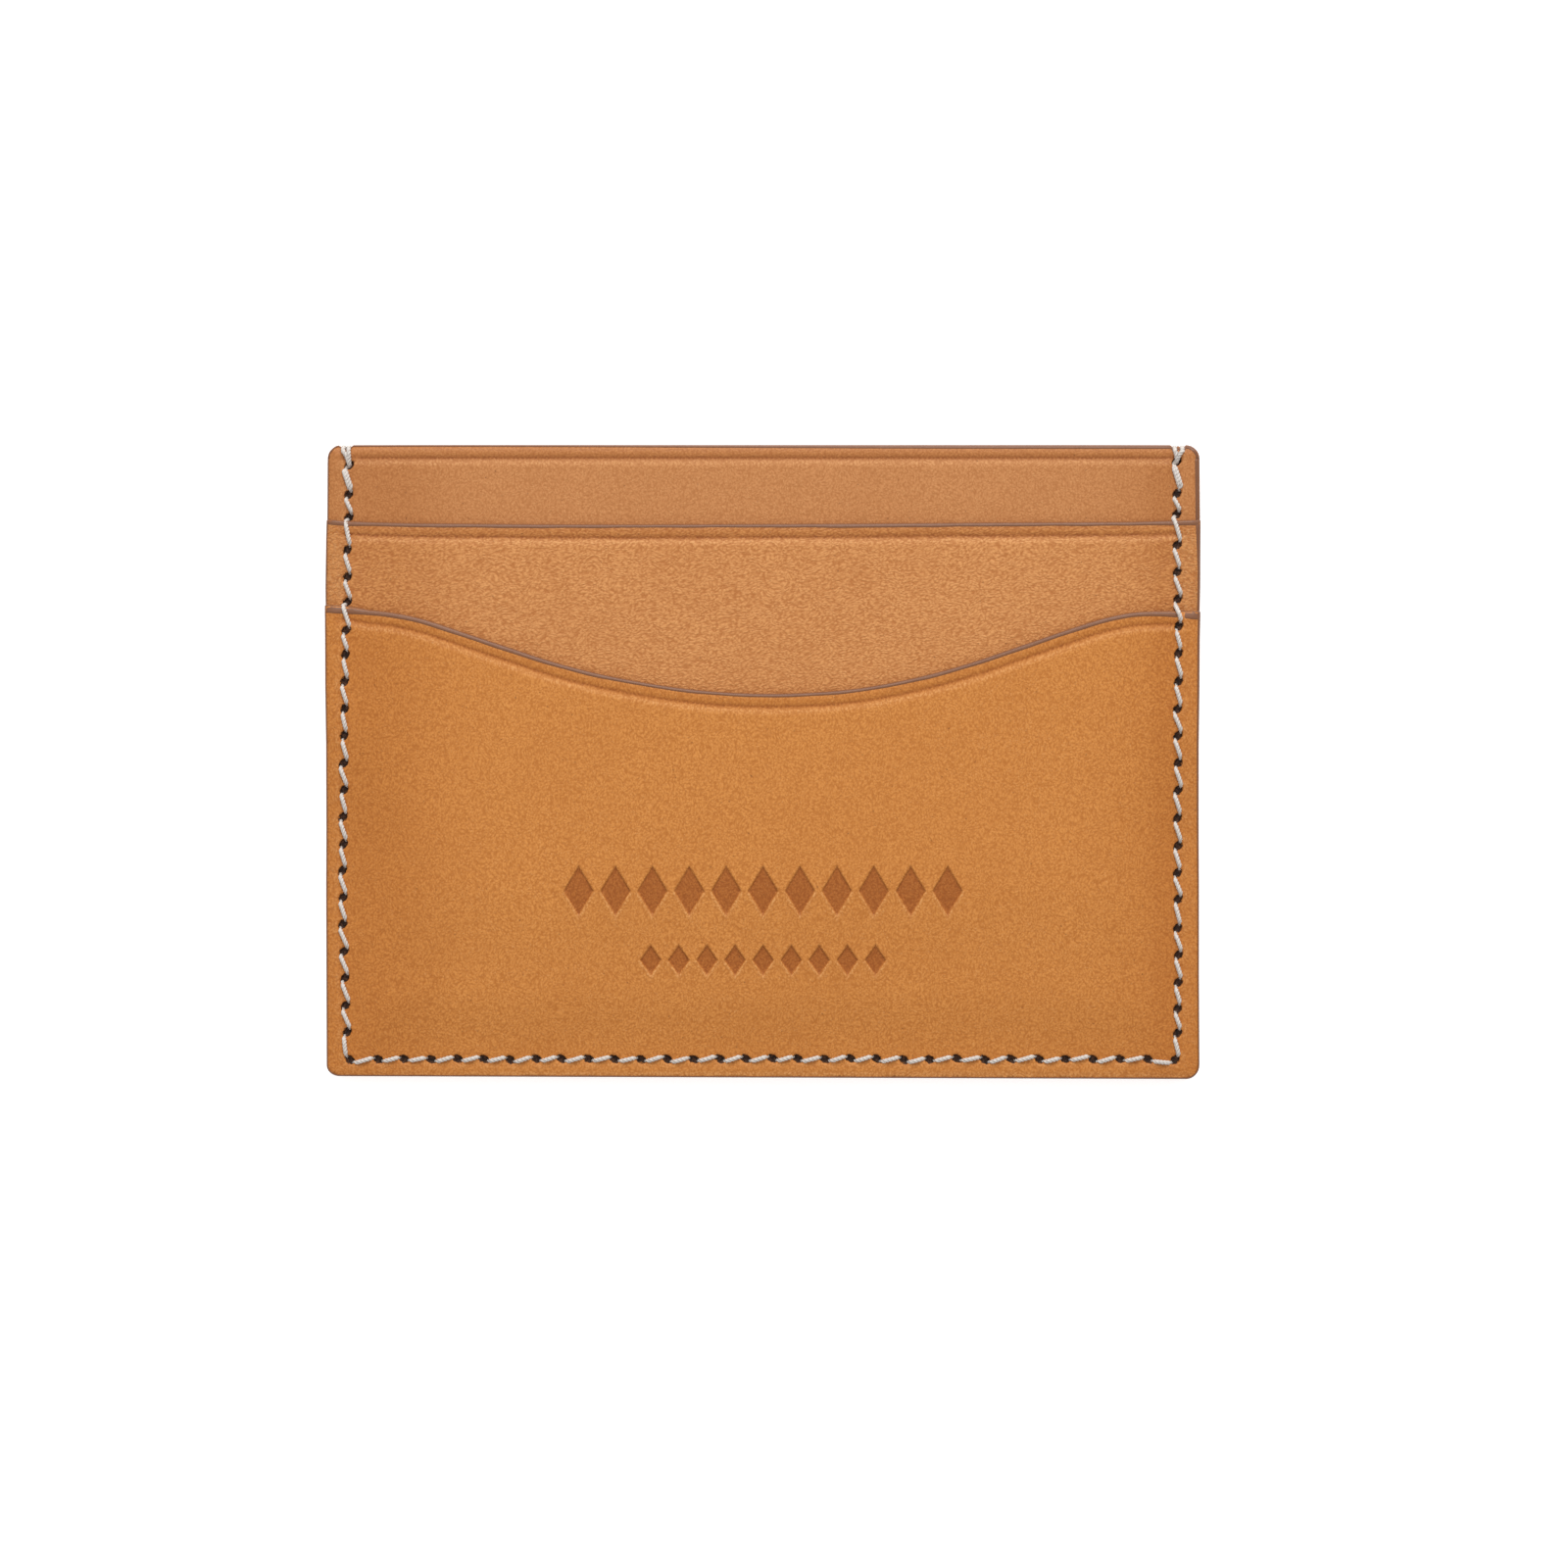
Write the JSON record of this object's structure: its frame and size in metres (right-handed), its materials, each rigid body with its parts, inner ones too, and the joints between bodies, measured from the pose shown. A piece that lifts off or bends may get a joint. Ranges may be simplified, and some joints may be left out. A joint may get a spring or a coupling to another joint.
{
  "type": "card holder",
  "caption": "Slim leather card holder with stacked card pockets on its face, a centre pocket, saddle-stitched sides and bottom and painted edges",
  "frame": {"origin": "under the middle of the holder, on the surface that it lies on", "axes": "+X along its width, to the right as its face is seen; +Y up its face, towards the pocket mouths; +Z out of its face"},
  "size_m": [0.1, 0.0724, 0.0044],
  "materials": {
    "leather": "natural vegetable-tanned grain, satin",
    "thread": "waxed plied thread",
    "edge_paint": "smooth satin edge paint"
  },
  "bodies": {
    "root": {"back_panel": "leather", "centre_panel": "leather", "second_pocket": "leather", "front_pocket": "leather", "seam_thread": "thread", "hem_thread": "thread", "perimeter_edge_paint": "edge_paint", "back_mouth_edge_paint": "edge_paint", "centre_mouth_edge_paint": "edge_paint", "second_mouth_edge_paint": "edge_paint", "front_mouth_edge_paint": "edge_paint"}
  },
  "joints": []
}
